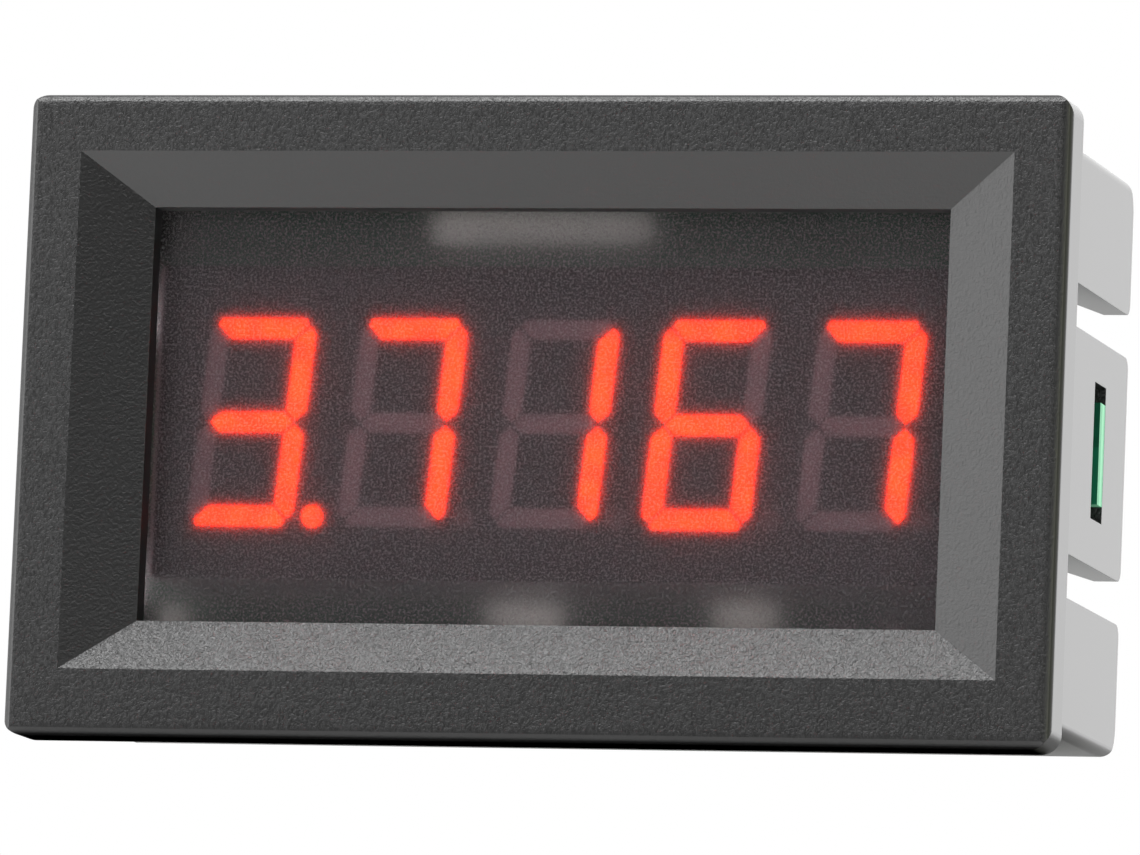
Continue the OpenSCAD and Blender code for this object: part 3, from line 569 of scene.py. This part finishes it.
def make_board_details():
    """Pads, solder, tracks, through-holes and printed outlines, placed from the solids' own boxes."""
    pads, solder, tracks, holes, ink = (Piece() for _ in range(5))
    top = BOARD_BACK + COPPER
    on_mask = BOARD_BACK + COPPER * 0.7
    leads = leads_and_directions()
    board_low, board_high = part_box("circuit_board")

    taken = [lead for lead, _ in leads] + [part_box(body) for body in LEADS.values()]
    taken += islands("chip_capacitors") + islands("chip_resistors") + islands("pin_solder")
    taken += [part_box("header_shell")]
    taken = [(Vector(low), Vector(high)) for low, high in taken]
    vias = []

    for lead, outward in leads:
        point, width = end_of(lead, outward)
        height = lead[1].y - BOARD_BACK
        toe = min(0.3 * MM, width * 0.9)
        tall = height * 0.7 if height < 1 * MM else 0.13 * MM
        side = Vector((abs(outward.z), 0, abs(outward.x))) * (width / 2 + PAD_BESIDE)
        inner, outer = point - outward * PAD_UNDER, point + outward * (toe + PAD_BEYOND)
        corners = [inner - side, inner + side, outer - side, outer + side]
        pads.rectangle((min(c.x for c in corners), min(c.z for c in corners)),
                       (max(c.x for c in corners), max(c.z for c in corners)), BOARD_BACK, top)
        solder.fillet(Vector((point.x, top, point.z)), outward, width, toe, tall)

        for run in random.sample((0.9, 1.3, 1.8, 2.4), 4):
            end = outer + outward * run * MM
            inside = (board_low[0] + EDGE_MARGIN < end.x < board_high[0] - EDGE_MARGIN
                      and board_low[2] + EDGE_MARGIN < end.z < board_high[2] - EDGE_MARGIN)
            steps = [outer + outward * run * MM * (k + 1) / 6 for k in range(6)]
            free = all(clear_of(taken, s.x, s.z, BODY_MARGIN) for s in steps[1:])
            spread = all(math.hypot(end.x - v[0], end.z - v[1]) > VIA_SPACING for v in vias)
            if inside and free and spread:
                vias.append((end.x, end.z))
                tracks.track([(outer.x, outer.z), (end.x, end.z)], TRACK_WIDTH, BOARD_BACK, on_mask)
                break

    for centre in vias:
        tracks.ring(centre, VIA_HOLE, VIA_RING, BOARD_BACK, top)
        holes.disc(centre, VIA_HOLE, BOARD_BACK, BOARD_BACK + COPPER * 0.3, 12)

    for pin in islands("display_pins"):
        centre = middle(pin)
        pads.ring((centre.x, centre.z), 0.45 * MM, 0.95 * MM, BOARD_BACK, BOARD_BACK + COPPER * 0.5, 24)

    # Three wide tracks from the header up to the regulator
    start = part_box("header_shell")[1][2]
    bend = start + 1.2 * MM
    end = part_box("regulator_leads")[0][2]
    for pin in islands("header_pins"):
        x = middle(pin).x
        offset = x - middle(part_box("header_shell")).x
        near = middle(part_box("regulator")).x + offset * 0.6
        tracks.track([(x, start), (x, bend), (near, bend + abs(x - near)), (near, end)],
                     SUPPLY_WIDTH, BOARD_BACK, on_mask)

    # White outlines round the chips and the header, and a dot at each chip's first lead
    for body, reach in (("microcontroller", 0), ("converter_chip", 0), ("regulator", 0.25),
                        ("header_shell", 0.2)):
        low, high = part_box(body)
        frame_of(ink, (low[0] - reach * MM, low[2] - reach * MM),
                 (high[0] + reach * MM, high[2] + reach * MM), INK_WIDTH, top)
    for leads_node in ("microcontroller_leads", "converter_leads"):
        low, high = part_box(leads_node)
        ink.disc((high[0] + 0.5 * MM, high[2] - 0.2 * MM), 0.18 * MM, BOARD_BACK, top)

    pads.make("solder_pads", metal("bare_pads", (0.74, 0.74, 0.72), 0.22), "tinned")
    solder.make("lead_solder", metal("lead_solder", (0.78, 0.79, 0.8), 0.14), "solder")
    tracks.make("board_tracks", plain("masked_copper", (0.02, 0.27, 0.13), (0.03, 0.33, 0.17), 1 * MM,
                                      (0.22, 0.3)), "board_green")
    holes.make("via_holes", plain("via_holes", (0.01, 0.012, 0.01), (0.02, 0.03, 0.02), 0.2 * MM),
               "chip_black")
    ink.make("board_outlines", plain("white_ink", (0.68, 0.7, 0.66), (0.82, 0.83, 0.8), 0.2 * MM,
                                     (0.5, 0.6)), "header_white")
    make_stripe()


def frame_of(piece, low, high, width, top):
    """Four strips along the sides of a rectangle on the board."""
    half = width / 2
    for x in (low[0], high[0]):
        piece.rectangle((x - half, low[1] - half), (x + half, high[1] + half), BOARD_BACK, top)
    for z in (low[1], high[1]):
        piece.rectangle((low[0] + half, z - half), (high[0] - half, z + half), BOARD_BACK, top)


def make_stripe():
    """The dark stripe that marks the input capacitor's positive end."""
    stripe = Piece()
    low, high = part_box("input_capacitor")
    inset = (high[2] - low[2]) * 0.13
    stripe.rectangle((low[0] + 0.35 * MM, low[2] + inset), (low[0] + 0.8 * MM, high[2] - inset),
                     high[1] - 0.02 * MM, high[1] + 0.01 * MM)
    stripe.make("capacitor_stripe", plain("stripe_ink", (0.16, 0.05, 0.01), (0.22, 0.08, 0.02), 0.2 * MM),
                "tantalum")


# ---------------------------------------------------------------- studio

def world_light():
    """Soft light with a dark side in front, and white where the camera or glass looks at it."""
    world = bpy.data.worlds.new("world")
    bpy.context.scene.world = world
    t = Tree("world", world)
    direction = t.add("ShaderNodeTexCoord").outputs["Generated"]
    front = t.add("ShaderNodeVectorMath", {"operation": "DOT_PRODUCT"})
    t.links.new(direction, front.inputs[0])
    front.inputs[1].default_value = (0.17, -0.984, -0.05)
    right = t.parts(direction)[0]
    tint = t.mix(t.step(right, 0.75, 0.95), (1.0, 1.0, 1.0), (0.9, 0.94, 0.66))
    light = t.add("ShaderNodeBackground", None, Color=tint,
                  Strength=t.ramp(front.outputs["Value"], 0.25, 0.9, 1.0, 0.03))
    white = t.add("ShaderNodeBackground", None, Color=(1.0, 1.0, 1.0), Strength=1.0)
    path = t.add("ShaderNodeLightPath")
    seen = t.math("MAXIMUM", path.outputs["Is Camera Ray"], path.outputs["Is Transmission Ray"])
    output = t.add("ShaderNodeOutputWorld")
    t.links.new(t.blend(seen, light, white).outputs[0], output.inputs["Surface"])


def area_lamp(name, place, size, radiance):
    """A soft box aimed at the meter, of the given width, height and radiance of its face."""
    data = bpy.data.lights.new(name, "AREA")
    data.shape = "RECTANGLE"
    data.size, data.size_y = size
    data.energy = radiance * math.pi * size[0] * size[1]
    lamp = bpy.data.objects.new(name, data)
    lamp.location = place
    lamp.rotation_euler = (-place).to_track_quat("-Z", "Y").to_euler()
    bpy.context.scene.collection.objects.link(lamp)


def floor_material():
    """A pale floor that keeps its shadows, and is clear when looked at from underneath."""
    t = Tree("floor_paper")
    cloud = t.noise(t.place(), 40 * MM, 3.0)
    colour = t.mix(cloud, (0.84, 0.84, 0.84), (0.88, 0.88, 0.88))
    paper = t.add("ShaderNodeBsdfDiffuse", None, Color=colour)
    clear = t.add("ShaderNodeBsdfTransparent")
    path = t.add("ShaderNodeLightPath")
    under = t.math("MULTIPLY", path.outputs["Is Camera Ray"],
                   t.add("ShaderNodeNewGeometry").outputs["Backfacing"])
    return t.finish(t.blend(under, paper, clear))


def make_floor():
    """A square sheet under the lowest point of the model."""
    half = 1.2  # metres
    mesh = bpy.data.meshes.new("floor")
    z = cad_bounds[0][2]
    mesh.from_pydata([(-half, -half, z), (half, -half, z), (half, half, z), (-half, half, z)], [],
                     [(0, 1, 2, 3)])
    floor = bpy.data.objects.new("floor", mesh)
    mesh.materials.append(floor_material())
    bpy.context.scene.collection.objects.link(floor)


def toward(direction, distance):
    """A point in that direction from the meter, at that distance in metres."""
    return Vector(direction).normalized() * distance


def make_studio():
    """World, floor, and a soft box above, at the left and behind."""
    world_light()
    make_floor()
    area_lamp("top_softbox", toward((-0.26, -0.29, 0.92), 0.6), (0.42, 0.34), 4.8)
    area_lamp("left_softbox", toward((-0.907, -0.397, 0.2), 0.65), (0.32, 0.36), 1.55)
    area_lamp("back_softbox", toward((0.3, 0.92, 0.25), 0.8), (0.7, 0.5), 1.65)


# ---------------------------------------------------------------- the scene

make_camera()
assign_materials()
make_board_details()
make_studio()

scene = bpy.context.scene
scene.view_settings.view_transform = "Standard"
